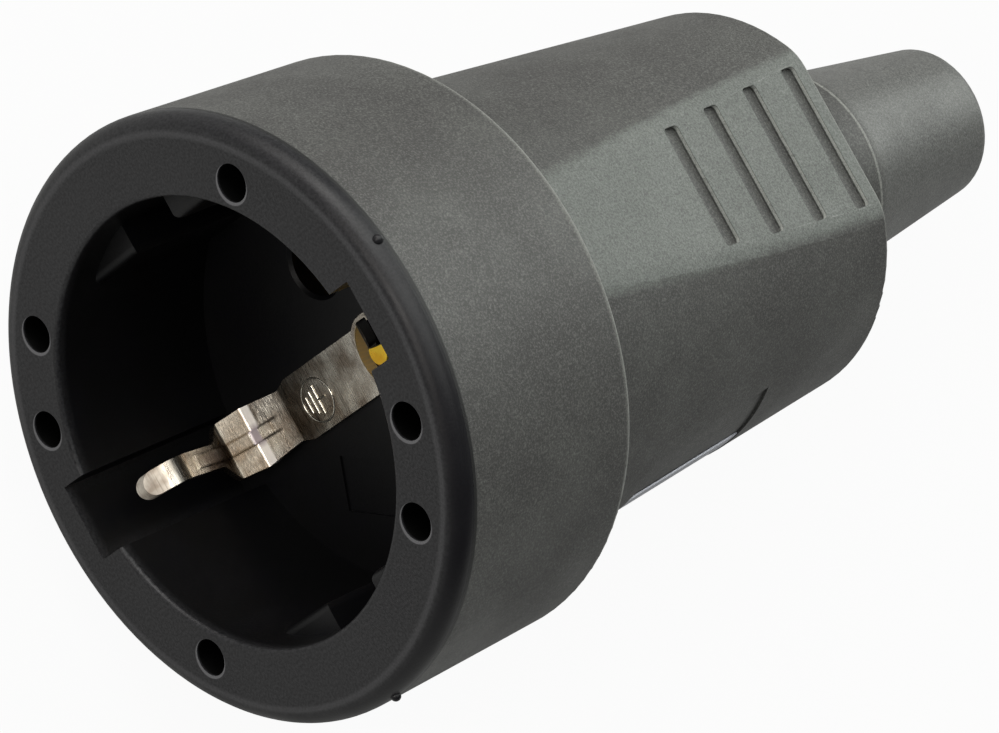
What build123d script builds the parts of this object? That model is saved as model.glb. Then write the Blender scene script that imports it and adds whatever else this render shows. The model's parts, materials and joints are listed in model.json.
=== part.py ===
from build123d import *
from math import asin, atan2, cos, degrees, hypot, radians, sin, sqrt
import os

os.makedirs("parts", exist_ok=True)

# An in-line power socket for two round pins and side earth springs, in a soft rubber body.
# It is drawn in the socket's own axes, in millimetres: X runs from the mating face to the cable end,
# Y passes through both pin holes and Z through both earth springs. The last lines lay it down.

# Mating face and recess
recess_radius = 19.5
recess_depth = 17.5
mouth_rounding = 0.4
face_width = 6.92
pin_spacing = 19.0
pin_length = 19.0
pin_hole_radius = 2.9
pin_hole_chamfer = 0.3
guide_thickness = 2.9
guide_top = 3.6
guide_groove = 6.4
guide_rounding = 0.7
notch_width = 7.0
notch_depth = 2.5
face_hole_radius = 1.65
face_hole_setback = 2.45
face_hole_depth = 8.0
face_hole_angles = (45.0, 135.0, 157.5, 225.0, 315.0, 337.5)
mark_length = 6.8
mark_width = 5.0
mark_depth = 0.2
mark_place = (-9.0, -7.0)
mark_turn = 28.0

# Insert that carries the face
flange_thickness = 1.95
flange_rounding = 1.7
flange_overhang = 2.22
base_thickness = 3.5
bead_height = 0.5
bead_width = 2.4
bead_place = 12.0
gate_nub_radius = 0.45
gate_nub_angles = (11.0, -87.0)

# Rubber body
collar_draft = 0.66
collar_step = 4.3
collar_step_wall = 1.0
collar_rounding = 0.9
barrel_length = 43.3
barrel_draft = 3.41
barrel_rounding = 0.6
boss_length = 9.2
boss_step = 0.5
sleeve_length = 19.5
sleeve_draft = 2.4
sleeve_wall = 2.6
sleeve_rounding = 1.4
cable_radius = 4.5
cavity_front_wall = 3.95
cavity_rear_wall = 2.4
cavity_end_wall = 4.3

# Grip flats above and below
flat_front_cut = 0.31
flat_rear_cut = 1.75
flat_rounding = 5.0
groove_count = 4
groove_setback = 21.95
groove_pitch = 6.17
groove_width = 2.0
groove_depth = 0.55
groove_rounding = 0.45
groove_margin = 0.6

# Label on the side
label_length = 15.5
label_height = 5.8
label_thickness = 0.15
label_setback = 27.0
label_pad_depth = 0.25
label_pad_margin = 0.3
label_pad_height = 18.0

# Earth bracket, one strip folded from sheet; depths run from the face and reaches from the axis
strip_thickness = 0.7
strip_width = 5.8
strip_bend = 1.2
waist_width = 4.8
waist_setback = 1.5
waist_rounding = 0.8
ramp_start = 11.3
ramp_end = 15.4
ramp_rise = 1.6
shoulder_rise = 3.95
shoulder_reach = 17.6
shoulder_width = 5.3
neck_rise = 5.5
neck_width = 2.2
neck_rounding = 1.0
curl_depth = 5.95
curl_reach = 14.75
tip_depth = 3.5
tip_reach = 18.0
tip_rounding = 0.7
rib_width = 1.2
rib_height = 0.25
rib_end_depth = 7.8
eye_half_width = 3.0
eye_half_length = 2.1
eye_margin = 0.6
eye_rim_height = 0.5
eye_rim_width = 0.45
tongue_width = 1.8
post_offset = 2.9

# Earth post and terminal
post_tip_radius = 1.25
post_tip_length = 1.05
post_pocket_depth = 1.5
post_flange_radius = 3.5
post_flange_thickness = 1.2
post_shank_radius = 2.0
post_grip = 4.0
earth_block_width = 7.2
earth_block_length = 10.0
earth_block_top = 6.0
earth_block_setback = 1.8
earth_block_web = 0.65
terminal_rounding = 0.5

# Line contacts and their clamps
contact_bore_radius = 2.45
contact_wall = 0.9
contact_slot = 0.9
contact_root_length = 2.2
tail_width = 4.6
tail_thickness = 1.0
spring_ring_place = 2.2
spring_ring_width = 2.0
spring_ring_thickness = 0.5
spring_ring_gap = 1.2
clamp_setback = 1.0
clamp_size = 7.5
clamp_length = 7.0
clamp_wall = 1.1
clamp_roof = 1.8
wire_radius = 1.7

# Carrier behind the insert
carrier_disc = 2.2
carrier_floor = 2.2
carrier_wall_overlap = 1.5
carrier_wall_top = 5.0
carrier_tail_gap = 1.0
carrier_tail_edge = 0.8
keel_thickness = 1.6
cheek_height = 2.85
clamp_bar_length = 8.0
clamp_bar_thickness = 3.1
clamp_bar_wall = 1.3

# Fasteners
terminal_screw_radius = 1.75
terminal_screw_length = 4.4
terminal_head_radius = 2.8
terminal_head_height = 2.0
terminal_head_lift = 0.8
carrier_screw_radius = 1.3
carrier_screw_length = 4.6
carrier_head_radius = 2.6
carrier_head_height = 1.7
carrier_screw_reach = 12.3
bar_screw_radius = 1.5
bar_head_radius = 2.6
bar_head_height = 2.0
bar_nut_flats = 5.5
bar_nut_height = 2.4
slot_width = 0.8
slot_depth = 0.9

# Clearances
fit_gap = 0.12
cavity_gap = 0.3
thread_gap = 0.05
hole_gap = 0.15
label_gap = 0.02

# Places that follow from the sizes above
pin_half = pin_spacing / 2
pin_end = recess_depth + pin_length
base_rear = recess_depth + base_thickness
disc_rear = base_rear + carrier_disc
guide_flat = recess_radius - guide_thickness
notch_reach = recess_radius + notch_depth
face_hole_circle = recess_radius + face_hole_setback
collar_front_radius = recess_radius + face_width
collar_rear_radius = collar_front_radius - collar_draft
collar_length = base_rear + collar_step_wall
insert_radius = collar_front_radius - flange_overhang
barrel_front_radius = collar_rear_radius - collar_step
barrel_rear_radius = barrel_front_radius - barrel_draft
barrel_end = collar_length + barrel_length
boss_end = barrel_end + boss_length
sleeve_end = boss_end + sleeve_length
sleeve_tip_radius = cable_radius + sleeve_wall
sleeve_root_radius = sleeve_tip_radius + sleeve_draft
boss_radius = sleeve_root_radius + boss_step
flat_front_height = barrel_front_radius - flat_front_cut
flat_rear_height = barrel_rear_radius - flat_rear_cut
cavity_front_radius = flat_front_height - cavity_front_wall
cavity_rear_radius = flat_rear_height - cavity_rear_wall
cavity_end = barrel_end - cavity_end_wall
groove_first = collar_length + groove_setback
label_end = collar_length + label_setback
strap_front = recess_depth - strip_thickness
shoulder_depth = recess_depth - shoulder_rise
neck_depth = recess_depth - neck_rise
post_flange_start = base_rear - post_flange_thickness
earth_block_start = disc_rear + earth_block_setback
earth_block_end = earth_block_start + earth_block_length
post_end = earth_block_start + post_grip
earth_wire_start = post_end + earth_block_web
earth_screw_place = (earth_wire_start + earth_block_end) / 2
clamp_start = pin_end + clamp_setback
clamp_end = clamp_start + clamp_length
clamp_screw_place = (clamp_start + clamp_end) / 2
floor_top = -clamp_size / 2
floor_bottom = floor_top - carrier_floor
carrier_wall_end = clamp_end + carrier_wall_overlap
carrier_tail_end = cavity_end - carrier_tail_gap
clamp_bar_place = (carrier_wall_end + carrier_tail_end) / 2
bar_start = clamp_bar_place - clamp_bar_length / 2
bar_end = clamp_bar_place + clamp_bar_length / 2
bar_bottom = floor_top + cheek_height
bar_seat = bar_bottom + clamp_bar_thickness
bar_arch = cable_radius + hole_gap
bar_screw_offset = bar_arch + clamp_bar_wall + bar_head_radius + hole_gap
tail_half = bar_screw_offset + bar_nut_flats / 2 + hole_gap + carrier_tail_edge
far = 4 * collar_front_radius


def turned(points):
    """A solid of revolution about X from an outline of (x, radius) points."""
    return revolve(make_face(Polyline(points, close=True)), axis=Axis.X)


def rod(radius, start, end, y=0.0, z=0.0):
    """A round bar along X."""
    bar = Cylinder(radius, end - start, align=(Align.CENTER, Align.CENTER, Align.MIN))
    return Location((start, y, z), (0, 90, 0)) * bar


def upright(radius, bottom, top, x, y):
    """A round bar along Z."""
    bar = Cylinder(radius, top - bottom, align=(Align.CENTER, Align.CENTER, Align.MIN))
    return Location((x, y, bottom)) * bar


def block(x_range, y_range, z_range):
    """A box given by its two limits along each axis."""
    size = [high - low for low, high in (x_range, y_range, z_range)]
    middle = [(high + low) / 2 for low, high in (x_range, y_range, z_range)]
    return Location(tuple(middle)) * Box(*size)


def side_plate(points, y_low, y_high):
    """A plate cut along an outline of (x, z) points, between two places on Y."""
    outline = make_face(Polyline([(x, 0, z) for x, z in points], close=True))
    return Location((0, y_low, 0)) * extrude(outline, amount=y_high - y_low, dir=(0, 1, 0))


def oval(margin, start, end):
    """A bar along X about the earth post, wider than the eye's oval hole by a margin all round."""
    section = Plane.YZ * Ellipse(eye_half_width + margin, eye_half_length + margin)
    return Location((start, 0, post_offset)) * extrude(section, amount=end - start, dir=(1, 0, 0))


def circle_edges(solid, radius, x, tolerance=0.02):
    """The round edges about the socket's axis with this radius at this place along X."""
    return [
        edge
        for edge in solid.edges().filter_by(GeomType.CIRCLE)
        if abs(edge.radius - radius) < tolerance
        and abs(edge.arc_center.X - x) < tolerance
        and hypot(edge.arc_center.Y, edge.arc_center.Z) < tolerance
    ]


def taper(x, start, end, first, last):
    """A size that changes evenly from first to last between two places along X."""
    return first + (last - first) * (x - start) / (end - start)


def collar_radius(x):
    return taper(x, flange_thickness, collar_length, collar_front_radius, collar_rear_radius)


def barrel_radius(x):
    return taper(x, collar_length, barrel_end, barrel_front_radius, barrel_rear_radius)


def flat_height(x):
    return taper(x, collar_length, barrel_end, flat_front_height, flat_rear_height)


def cavity_radius(x):
    return taper(x, base_rear, cavity_end, cavity_front_radius, cavity_rear_radius)


def socket_insert():
    """Flange, cup and base in one moulding, with guides, notches and holes."""
    bead_half = bead_width / 2
    body = turned(
        [
            (0, 0),
            (0, collar_front_radius),
            (flange_thickness, collar_front_radius),
            (flange_thickness, insert_radius),
            (bead_place - bead_half - bead_height, insert_radius),
            (bead_place - bead_half, insert_radius + bead_height),
            (bead_place + bead_half, insert_radius + bead_height),
            (bead_place + bead_half + bead_height, insert_radius),
            (base_rear, insert_radius),
            (base_rear, 0),
        ]
    )
    body = fillet(circle_edges(body, collar_front_radius, 0), flange_rounding)
    body -= rod(recess_radius, 0, recess_depth)
    body = fillet(circle_edges(body, recess_radius, 0), mouth_rounding)
    for nub_angle in gate_nub_angles:
        nub_y = collar_front_radius * sin(radians(nub_angle))
        nub_z = collar_front_radius * cos(radians(nub_angle))
        body += Location((flange_thickness - gate_nub_radius, nub_y, nub_z)) * Sphere(gate_nub_radius)
    for side_y in (-1, 1):
        for side_z in (-1, 1):
            body += guide_block(side_y, side_z)
    half_notch = notch_width / 2
    body -= block((0, recess_depth), (-half_notch, half_notch), (-notch_reach, notch_reach))
    for angle in face_hole_angles:
        hole_y = face_hole_circle * sin(radians(angle))
        hole_z = face_hole_circle * cos(radians(angle))
        body -= rod(face_hole_radius, 0, face_hole_depth, hole_y, hole_z)
    for side_y in (-1, 1):
        hole = rod(pin_hole_radius, recess_depth, base_rear, side_y * pin_half)
        mouth = Cone(
            pin_hole_radius, pin_hole_radius + pin_hole_chamfer, pin_hole_chamfer,
            align=(Align.CENTER, Align.CENTER, Align.MIN),
        )
        body -= hole
        body -= Location((recess_depth + pin_hole_chamfer, side_y * pin_half, 0), (0, -90, 0)) * mouth
    body -= oval(0, recess_depth, recess_depth + post_pocket_depth)
    body -= rod(post_tip_radius + hole_gap, recess_depth, post_flange_start, 0, post_offset)
    body -= rod(post_flange_radius + hole_gap, post_flange_start, base_rear, 0, post_offset)
    for side_z in (-1, 1):
        screw_end = disc_rear - carrier_screw_length - thread_gap
        body -= rod(carrier_screw_radius + thread_gap, screw_end, base_rear, 0, side_z * carrier_screw_reach)
    mark = Location((recess_depth, *mark_place), (mark_turn, 0, 0)) * Box(2 * mark_depth, mark_width, mark_length)
    return body - mark


def guide_block(side_y, side_z):
    """One of the four blocks that guide the flat sides of a plug, with a groove between each pair."""
    near_z = guide_groove / 2
    wall = block((guide_top, recess_depth), (guide_flat, far), (near_z, far))
    wall = wall & rod(recess_radius + mouth_rounding, guide_top, recess_depth)
    lip = wall.edges().filter_by(Axis.Z).sort_by(Axis.X)[:1]
    corner = wall.edges().filter_by(Axis.X).sort_by(Axis.Z)[:2].sort_by(Axis.Y)[:1]
    wall = fillet(lip + corner, guide_rounding)
    if side_y < 0:
        wall = mirror(wall, about=Plane.XZ)
    if side_z < 0:
        wall = mirror(wall, about=Plane.XY)
    return wall


def rubber_body():
    """Collar, tapered barrel and cable sleeve in one soft moulding, hollow inside."""
    bead_half = bead_width / 2
    bore = insert_radius + fit_gap
    body = turned(
        [
            (flange_thickness, bore),
            (flange_thickness, collar_front_radius),
            (collar_length, collar_rear_radius),
            (collar_length, barrel_front_radius),
            (barrel_end, barrel_rear_radius),
            (barrel_end, boss_radius),
            (boss_end, boss_radius),
            (boss_end, sleeve_root_radius),
            (sleeve_end, sleeve_tip_radius),
            (sleeve_end, cable_radius),
            (cavity_end, cable_radius),
            (cavity_end, cavity_rear_radius),
            (base_rear, cavity_front_radius),
            (base_rear, bore),
            (bead_place + bead_half + bead_height, bore),
            (bead_place + bead_half, bore + bead_height),
            (bead_place - bead_half, bore + bead_height),
            (bead_place - bead_half - bead_height, bore),
        ]
    )
    body = fillet(circle_edges(body, collar_rear_radius, collar_length), collar_rounding)
    body = fillet(circle_edges(body, sleeve_tip_radius, sleeve_end), sleeve_rounding)
    for side in (-1, 1):
        body -= flat_cut(side)
    body = fillet([edge for edge in body.edges() if on_flat_rim(edge)], flat_rounding)
    body = fillet([edge for edge in body.edges() if on_end_rim(edge)], barrel_rounding)
    for side in (-1, 1):
        body -= groove_cuts(side)
    return body - label_band(label_pad_height, label_length + label_pad_margin, label_pad_depth, label_pad_depth)


def flat_cut(side):
    """What is cut from the barrel above or below to leave one sloping flat."""
    return side_plate(
        [
            (collar_length, side * flat_front_height),
            (barrel_end, side * flat_rear_height),
            (barrel_end, side * far),
            (collar_length, side * far),
        ],
        -far,
        far,
    )


def on_flat_rim(edge):
    """Tells whether an edge is one of the long ones between the barrel's skin and a flat."""
    middle = edge @ 0.5
    on_flat = abs(abs(middle.Z) - flat_height(middle.X)) < fit_gap
    return on_flat and edge.length > barrel_length / 2


def on_end_rim(edge):
    """Tells whether an edge lies round the barrel's rear end, outside the boss."""
    middle = edge @ 0.5
    return abs(middle.X - barrel_end) < fit_gap and hypot(middle.Y, middle.Z) > boss_radius + fit_gap


def groove_cuts(side):
    """The grooves across one flat, one box with rounded corners for each."""
    slope = degrees(atan2(flat_front_height - flat_rear_height, barrel_length))
    grooves = []
    for index in range(groove_count):
        x = groove_first + index * groove_pitch
        half_length = sqrt(barrel_radius(x) ** 2 - flat_height(x) ** 2) - groove_margin
        groove = Box(groove_width, 2 * half_length, 2 * groove_depth)
        groove = fillet(groove.edges().filter_by(Axis.Z), groove_rounding)
        grooves.append(Location((x, 0, side * flat_height(x)), (0, side * slope, 0)) * groove)
    return Compound(children=grooves)


def label_band(height, length, outer_depth, thickness):
    """A rectangle of the barrel's skin on the side, between two depths under its surface."""
    start = label_end - length
    outer = thickness - outer_depth
    ring = turned(
        [
            (start, barrel_radius(start) - outer_depth),
            (label_end, barrel_radius(label_end) - outer_depth),
            (label_end, barrel_radius(label_end) + outer),
            (start, barrel_radius(start) + outer),
        ]
    )
    return ring & block((start, label_end), (-far, 0), (-height / 2, height / 2))


def rating_label():
    """A thin plain label that lies in the shallow pad on the side."""
    depth = label_pad_depth - label_gap
    return label_band(label_height, label_length, depth, label_thickness)


def folded_strip(path, thickness, width):
    """Sheet of one thickness that follows a path of (x, z) points with rounded folds."""
    line = FilletPolyline(*path, radius=strip_bend)
    section = make_face(offset(line, amount=thickness, side=Side.LEFT, closed=True))
    return extrude(Rotation(90, 0, 0) * section, amount=width / 2, both=True)


def earth_bracket():
    """One strip across the base, folded up on both sides into spring fingers with curled tips."""
    ramp_top = recess_depth - ramp_rise
    wing = [
        (recess_depth, ramp_start),
        (ramp_top, ramp_end),
        (shoulder_depth, shoulder_reach),
        (curl_depth, curl_reach),
        (tip_depth, tip_reach),
    ]
    other_wing = [(x, -z) for x, z in reversed(wing)]
    bracket = folded_strip(other_wing + wing, strip_thickness, strip_width)
    rib_start = ((recess_depth + ramp_top) / 2, (ramp_start + ramp_end) / 2)
    rib_end = (rib_end_depth, taper(rib_end_depth, shoulder_depth, curl_depth, shoulder_reach, curl_reach))
    rib = folded_strip([rib_start] + wing[1:3] + [rib_end], strip_thickness + rib_height, rib_width)
    bracket = bracket + rib + mirror(rib, about=Plane.XY)
    bracket = bracket & finger_outline(ramp_top) & waist_outline()
    bracket += oval(eye_margin, strap_front, recess_depth)
    bracket += oval(eye_rim_width, strap_front - eye_rim_height, strap_front)
    bracket -= oval(0, 0, recess_depth)
    half_tongue = tongue_width / 2
    tongue_end = post_offset + eye_half_length + eye_margin
    bracket += block((strap_front, recess_depth), (-half_tongue, half_tongue), (post_offset, tongue_end))
    return bracket - rod(post_tip_radius, 0, recess_depth, 0, post_offset)


def finger_outline(ramp_top):
    """The strip's width by depth: full on the ramp, a shoulder, the narrow neck and the round tip."""
    half_neck = neck_width / 2
    sides = [
        (recess_depth, strip_width / 2),
        (ramp_top, strip_width / 2),
        (shoulder_depth, shoulder_width / 2),
        (neck_depth, half_neck),
        (tip_depth + tip_rounding, half_neck),
    ]
    mirrored = [(x, -y) for x, y in reversed(sides)]
    outline = make_face(Polyline(sides + mirrored, close=True))
    corners = [corner for corner in outline.vertices() if abs(corner.X - neck_depth) < fit_gap]
    outline = fillet(corners, neck_rounding)
    outline += Location((tip_depth + tip_rounding, 0)) * Ellipse(tip_rounding, half_neck)
    return extrude(outline, amount=far, both=True)


def waist_outline():
    """The strip's width by reach: a little narrower where each ramp starts."""
    quarter = [
        (strip_width / 2, ramp_start - waist_setback),
        (waist_width / 2, ramp_start),
        (strip_width / 2, ramp_end),
        (strip_width / 2, far),
    ]
    right = [(y, -z) for y, z in reversed(quarter)] + quarter
    left = [(-y, z) for y, z in reversed(right)]
    outline = make_face(Polyline(right + left, close=True))
    corners = [corner for corner in outline.vertices() if abs(abs(corner.Y) - ramp_start) < fit_gap]
    outline = fillet(corners, waist_rounding)
    return extrude(Plane.YZ * outline, amount=far, both=True)


def earth_post():
    """Turned post: tip in the bracket's eye, flange behind the base and shank to the earth terminal."""
    tip = rod(post_tip_radius, recess_depth - post_tip_length, post_flange_start, 0, post_offset)
    flange = rod(post_flange_radius, post_flange_start, base_rear, 0, post_offset)
    shank = rod(post_shank_radius, base_rear, post_end, 0, post_offset)
    post = tip + flange + shank
    return chamfer(post.faces().sort_by(Axis.X)[0].edges(), post_tip_radius / 6)


def earth_terminal():
    """Block that joins the post to the earth wire, with a bore behind and a screw from above."""
    half = earth_block_width / 2
    body = block((earth_block_start, earth_block_end), (-half, half), (floor_top, earth_block_top))
    body = fillet(body.edges().filter_by(Axis.X), terminal_rounding)
    body -= rod(post_shank_radius + thread_gap, earth_block_start, post_end, 0, post_offset)
    body -= rod(wire_radius, earth_wire_start, earth_block_end)
    return body - upright(terminal_screw_radius + thread_gap, 0, earth_block_top, earth_screw_place, 0)


def line_contact(side):
    """Round contact for one pin: a split tube with a closed root and a flat tail for the clamp."""
    outer = contact_bore_radius + contact_wall
    centre_y = side * pin_half
    tube = rod(outer, disc_rear, pin_end, centre_y)
    bore_mouth = fillet(tube.edges().filter_by(GeomType.CIRCLE).sort_by(Axis.X)[:1], contact_wall / 3)
    slit_end = pin_end - contact_root_length
    ring_start = disc_rear + spring_ring_place
    tail_bottom = floor_top + clamp_wall + hole_gap
    tail = block(
        (slit_end, clamp_end),
        (centre_y - tail_width / 2, centre_y + tail_width / 2),
        (tail_bottom, tail_bottom + tail_thickness),
    )
    contact = bore_mouth + tail
    contact -= rod(contact_bore_radius, disc_rear, pin_end, centre_y)
    contact -= block((disc_rear, slit_end), (centre_y - far, centre_y + far), (-contact_slot / 2, contact_slot / 2))
    ring_end = ring_start + spring_ring_width + 2 * hole_gap
    groove = rod(far, ring_start, ring_end, centre_y)
    groove -= rod(outer - spring_ring_thickness, ring_start, ring_end, centre_y)
    return contact - groove


def contact_spring(side):
    """Open steel ring that squeezes the two halves of a contact."""
    centre_y = side * pin_half
    start = disc_rear + spring_ring_place + hole_gap
    end = start + spring_ring_width
    inner = contact_bore_radius + contact_wall - spring_ring_thickness + fit_gap / 2
    ring = rod(inner + spring_ring_thickness, start, end, centre_y) - rod(inner, start, end, centre_y)
    half_gap = spring_ring_gap / 2
    return ring - block((start, end), (centre_y - half_gap, centre_y + half_gap), (0, far))


def line_terminal(side):
    """Box clamp around a contact's tail: a window for tail and wire, and a threaded roof."""
    centre_y = side * pin_half
    half = clamp_size / 2
    body = block((clamp_start, clamp_end), (centre_y - half, centre_y + half), (floor_top, half))
    body = fillet(body.edges().filter_by(Axis.X), terminal_rounding)
    window = block(
        (clamp_start, clamp_end),
        (centre_y - half + clamp_wall, centre_y + half - clamp_wall),
        (floor_top + clamp_wall, half - clamp_roof),
    )
    body -= window
    return body - upright(terminal_screw_radius + thread_gap, 0, half, clamp_screw_place, centre_y)


def slotted_screw(shank_radius, shank_length, head_radius, head_height):
    """A cheese-head screw, head up, with the head's seat at the origin."""
    shank = upright(shank_radius, -shank_length, 0, 0, 0)
    head = upright(head_radius, 0, head_height, 0, 0)
    head = fillet(head.edges().sort_by(Axis.Z)[-1:], head_height / 5)
    slot = Location((0, 0, head_height)) * Box(3 * head_radius, slot_width, 2 * slot_depth)
    tip = chamfer(shank.edges().sort_by(Axis.Z)[:1], shank_radius / 4)
    return tip + head - slot


def terminal_screws():
    """The three like screws of the two line clamps and the earth terminal."""
    screw = slotted_screw(terminal_screw_radius, terminal_screw_length, terminal_head_radius, terminal_head_height)
    places = [
        (clamp_screw_place, -pin_half, clamp_size / 2 + terminal_head_lift),
        (clamp_screw_place, pin_half, clamp_size / 2 + terminal_head_lift),
        (earth_screw_place, 0, earth_block_top + terminal_head_lift),
    ]
    return Compound(children=[Location(place) * screw for place in places])


def carrier_screws():
    """Two like screws that hold the carrier to the back of the insert."""
    screw = slotted_screw(carrier_screw_radius, carrier_screw_length, carrier_head_radius, carrier_head_height)
    places = [(disc_rear, 0, side * carrier_screw_reach) for side in (-1, 1)]
    return Compound(children=[Location(place, (0, 90, 0)) * screw for place in places])


def contact_carrier():
    """Moulding that carries contacts, clamps and cord grip: disc, floor, walls, keels and cheeks."""
    envelope = turned(
        [
            (base_rear, 0),
            (base_rear, cavity_radius(base_rear) - cavity_gap),
            (carrier_tail_end, cavity_radius(carrier_tail_end) - cavity_gap),
            (carrier_tail_end, 0),
        ]
    )
    contact_side = clamp_size / 2 + hole_gap
    inner_low = earth_block_width / 2 + hole_gap
    inner_high = pin_half - contact_side
    outer_low = pin_half + contact_side
    body = block((base_rear, disc_rear), (-far, far), (-far, far))
    body += block((disc_rear, carrier_wall_end), (-far, far), (floor_bottom, floor_top))
    body += block((carrier_wall_end, carrier_tail_end), (-tail_half, tail_half), (floor_bottom, floor_top))
    for side in (-1, 1):
        inner = sorted((side * inner_low, side * inner_high))
        outer = sorted((side * outer_low, side * far))
        keel = sorted((side * inner_high, side * (inner_high - keel_thickness)))
        cheek = sorted((side * bar_arch, side * tail_half))
        body += block((disc_rear, carrier_wall_end), inner, (floor_top, carrier_wall_top))
        body += block((disc_rear, carrier_wall_end), outer, (floor_top, clamp_size / 2))
        body += block((disc_rear, carrier_tail_end), keel, (-far, floor_bottom))
        body += block((bar_start, bar_end), cheek, (floor_top, bar_bottom))
    body = body & envelope
    for side in (-1, 1):
        body -= rod(pin_hole_radius, base_rear, disc_rear, side * pin_half)
        body -= rod(carrier_screw_radius + hole_gap, base_rear, disc_rear, 0, side * carrier_screw_reach)
        body -= upright(bar_screw_radius + hole_gap, -far, far, clamp_bar_place, side * bar_screw_offset)
        body -= nut_prism(side, bar_nut_flats / 2 + hole_gap, -far, floor_bottom + bar_nut_height)
    body -= rod(post_shank_radius + hole_gap, base_rear, disc_rear, 0, post_offset)
    return body - rod(bar_arch, carrier_wall_end, carrier_tail_end)


def nut_prism(side, apothem, bottom, top):
    """A six-sided prism about one clamp screw."""
    outline = RegularPolygon(apothem, 6, major_radius=False)
    prism = extrude(outline, amount=top - bottom)
    return Location((clamp_bar_place, side * bar_screw_offset, bottom)) * prism


def cord_clamp_bar():
    """Arched bar that presses the cord down on the carrier's tail."""
    bar = block((bar_start, bar_end), (-tail_half, tail_half), (bar_bottom, bar_seat))
    arch = rod(bar_arch + clamp_bar_wall, bar_start, bar_end)
    bar += arch & block((bar_start, bar_end), (-far, far), (bar_bottom, far))
    bar -= rod(bar_arch, bar_start, bar_end)
    for side in (-1, 1):
        bar -= upright(bar_screw_radius + hole_gap, -far, far, clamp_bar_place, side * bar_screw_offset)
    return bar


def cord_clamp_screws():
    """Two like screws that pull the clamp bar down."""
    screw = slotted_screw(bar_screw_radius, bar_seat - floor_bottom, bar_head_radius, bar_head_height)
    places = [(clamp_bar_place, side * bar_screw_offset, bar_seat) for side in (-1, 1)]
    return Compound(children=[Location(place) * screw for place in places])


def cord_clamp_nuts():
    """Two like hexagon nuts in the pockets under the tail."""
    nuts = []
    for side in (-1, 1):
        nut = nut_prism(side, bar_nut_flats / 2, floor_bottom, floor_bottom + bar_nut_height)
        nut -= upright(bar_screw_radius + thread_gap, -far, far, clamp_bar_place, side * bar_screw_offset)
        nuts.append(nut)
    return Compound(children=nuts)


parts = {
    "rubber_body": rubber_body(),
    "socket_insert": socket_insert(),
    "contact_carrier": contact_carrier(),
    "earth_bracket": earth_bracket(),
    "earth_post": earth_post(),
    "earth_terminal": earth_terminal(),
    "line_contact_left": line_contact(-1),
    "line_contact_right": line_contact(1),
    "contact_spring_left": contact_spring(-1),
    "contact_spring_right": contact_spring(1),
    "line_terminal_left": line_terminal(-1),
    "line_terminal_right": line_terminal(1),
    "terminal_screws": terminal_screws(),
    "carrier_screws": carrier_screws(),
    "cord_clamp_bar": cord_clamp_bar(),
    "cord_clamp_screws": cord_clamp_screws(),
    "cord_clamp_nuts": cord_clamp_nuts(),
    "rating_label": rating_label(),
}

# The socket lies on the collar's rear edge and on the rear edge of its lower flat, both rounded.
collar_edge = collar_length - collar_rounding
flat_edge = barrel_end - barrel_rounding
run = flat_edge - collar_edge
drop = collar_radius(collar_edge) - collar_rounding - flat_height(flat_edge) + barrel_rounding
lean = degrees(atan2(drop, run) + asin((collar_rounding - barrel_rounding) / hypot(run, drop)))
leaning = Rotation(0, lean, 0)
bounds = Compound(children=[leaning * parts["rubber_body"], leaning * parts["socket_insert"]]).bounding_box()
placing = Location((-bounds.center().X, 0, -bounds.min.Z)) * leaning

for name, shape in parts.items():
    export_step(placing * shape, f"parts/{name}.step")
    print(name, "written")

print("leans by", round(lean, 3), "degrees")
print("mating face centre", tuple(placing.position))
print("size", tuple(bounds.size))
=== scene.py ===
# %% [markdown]
# An in-line power socket in dark grey rubber.
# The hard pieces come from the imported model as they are, so this lesson is about what a model needs after
# its shapes are right: a camera, soft light, and finishes that look like moulded rubber, moulded plastic,
# plated strip and turned brass. The pressed mark on the earth strip is made with Geometry Nodes.

# %% Load the fixed frame
import json
from math import atan2, cos, radians, sin

import bpy
from mathutils import Matrix, Vector


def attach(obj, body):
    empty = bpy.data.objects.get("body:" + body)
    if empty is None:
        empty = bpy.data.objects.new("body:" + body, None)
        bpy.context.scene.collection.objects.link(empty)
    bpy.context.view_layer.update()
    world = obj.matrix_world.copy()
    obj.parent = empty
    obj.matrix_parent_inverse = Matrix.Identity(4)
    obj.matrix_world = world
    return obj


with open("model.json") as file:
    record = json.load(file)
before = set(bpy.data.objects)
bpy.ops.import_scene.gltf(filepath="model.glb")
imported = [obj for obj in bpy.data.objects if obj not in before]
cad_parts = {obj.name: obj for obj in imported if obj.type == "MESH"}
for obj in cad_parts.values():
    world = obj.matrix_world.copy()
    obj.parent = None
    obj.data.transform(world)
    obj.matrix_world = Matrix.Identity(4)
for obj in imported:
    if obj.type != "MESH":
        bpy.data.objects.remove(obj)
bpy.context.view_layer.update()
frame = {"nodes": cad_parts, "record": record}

nodes = frame["nodes"]
mounts = {mount["name"]: mount for mount in frame["record"]["mounts"]}
MM = 0.001
print("nodes in the frame:", len(nodes))

# %% [markdown]
# The socket leans, because it lies on two edges. Its own axes are easier to think in: X from the mating
# face to the cable end, Y through both pin holes, Z through both earth springs. The record's mounts say
# where those axes are, so nothing is measured twice.

# %% The socket's own axes
axis_x = -Vector(mounts["plug_recess"]["axis"]).normalized()
axis_y = Vector((0, 1, 0))
axis_z = axis_x.cross(axis_y)
face_point = Vector(mounts["front_face"]["pos_m"])
face_centre = Vector((face_point.x, 0, face_point.z))
to_row = Matrix((axis_x, axis_y, axis_z)).transposed().to_4x4()
to_row.translation = face_centre
from_row = to_row.inverted()
lean = atan2(-axis_x.z, axis_x.x)


def place(x, y, z):
    """A point given in millimetres in the socket's own axes, in the frame's metres."""
    return to_row @ (Vector((x, y, z)) * MM)


print("mating face centre:", [round(value, 5) for value in face_centre])

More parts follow.
